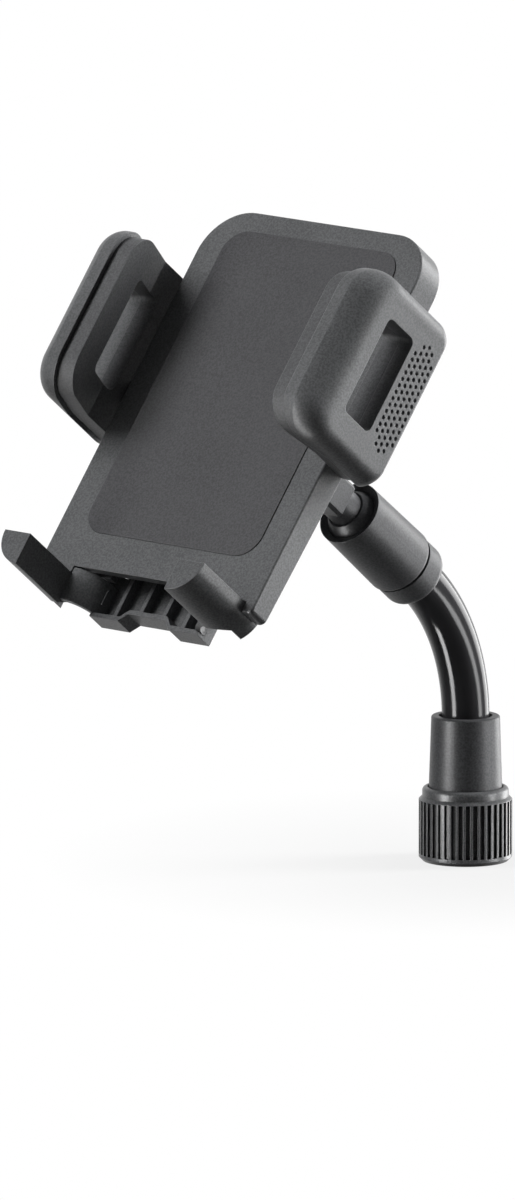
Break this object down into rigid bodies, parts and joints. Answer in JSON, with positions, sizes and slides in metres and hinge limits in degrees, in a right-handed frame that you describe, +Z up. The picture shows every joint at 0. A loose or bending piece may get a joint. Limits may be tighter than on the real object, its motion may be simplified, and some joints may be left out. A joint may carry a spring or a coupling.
{
  "type": "phone holder",
  "caption": "Phone holder: ribbed screw-on base nut, bent tube arm, ball joint with lock nut, and a sprung clamp with slotted jaws and a pronged foot.",
  "frame": {"origin": "centre of the base nut's bottom face, at the mouth of its thread", "axes": "+Z up along the thread's axis, the clamp faces -Y and leans back, +X is the phone's right side"},
  "size_m": [0.0905, 0.1393, 0.156],
  "materials": {
    "ribbed_plastic": "fine satin",
    "black_plastic": "fine satin",
    "jaw_plastic": "fine grain",
    "soft_liner": "matte",
    "soft_pad": "matte",
    "gloss_black": "gloss",
    "brass": "machined",
    "steel": "satin",
    "gear_plastic": "satin"
  },
  "bodies": {
    "base": {"base_nut": "ribbed_plastic", "thread_insert": "brass"},
    "arm": {"lower_collar": "black_plastic", "retaining_clip": "steel", "arm_tube": "gloss_black", "socket_body": "black_plastic"},
    "clamp_nut": {"lock_nut": "black_plastic"},
    "seat": {"ball_seat": "gear_plastic"},
    "ball": {"ball": "black_plastic"},
    "cradle": {"ball_stem": "black_plastic", "stem_screws": "steel", "front_plate": "black_plastic", "back_pad": "soft_pad", "rear_cover": "black_plastic", "cover_screws": "steel", "pinion_axle": "steel", "spiral_spring": "steel"},
    "gear": {"pinion": "gear_plastic"},
    "right_jaw": {"right_rack": "black_plastic", "right_jaw_shell": "jaw_plastic", "right_jaw_liner": "soft_liner", "right_jaw_screw": "steel"},
    "left_jaw": {"left_rack": "black_plastic", "left_jaw_shell": "jaw_plastic", "left_jaw_liner": "soft_liner", "left_jaw_screw": "steel"},
    "foot": {"foot_bracket": "black_plastic"}
  },
  "joints": [
    {"name": "base_swivel", "type": "hinge", "parent": "base", "child": "arm", "pos_m": [0, 0, 0], "axis": [0, 0, 1], "continuous": true},
    {"name": "lock_nut_turn", "type": "hinge", "parent": "arm", "child": "clamp_nut", "pos_m": [0, -0.03824, 0.08517], "axis": [0, -0.7902, 0.6129], "range_deg": [0, 270]},
    {"name": "ball_spin", "type": "hinge", "parent": "arm", "child": "seat", "pos_m": [0, -0.03824, 0.08517], "axis": [0, -0.7902, 0.6129], "continuous": true},
    {"name": "ball_tilt", "type": "hinge", "parent": "seat", "child": "ball", "pos_m": [0, -0.03824, 0.08517], "axis": [1, 0, 0], "range_deg": [-25, 25]},
    {"name": "cradle_twist", "type": "hinge", "parent": "ball", "child": "cradle", "pos_m": [0, -0.03824, 0.08517], "axis": [0, -0.7902, 0.6129], "continuous": true},
    {"name": "right_jaw_slide", "type": "slide", "parent": "cradle", "child": "right_jaw", "axis": [0.9998, -0.0107, -0.0138], "range_m": [0, 0.014], "stiffness_N_per_m": 60, "springref_m": -0.02},
    {"name": "left_jaw_slide", "type": "slide", "parent": "cradle", "child": "left_jaw", "axis": [-0.9998, 0.0107, 0.0138], "range_m": [0, 0.014]},
    {"name": "pinion_turn", "type": "hinge", "parent": "cradle", "child": "gear", "pos_m": [0.00016, -0.07369, 0.1243], "axis": [0, -0.7902, 0.6129], "range_deg": [-140, 5]},
    {"name": "foot_slide", "type": "slide", "parent": "cradle", "child": "foot", "axis": [-0.0175, -0.6128, -0.79], "range_m": [0, 0.02]}
  ],
  "couplings": [
    {"joint": "left_jaw_slide", "follows": "right_jaw_slide", "ratio": 1},
    {"joint": "pinion_turn", "follows": "right_jaw_slide", "rad_per_m": -166.67}
  ]
}
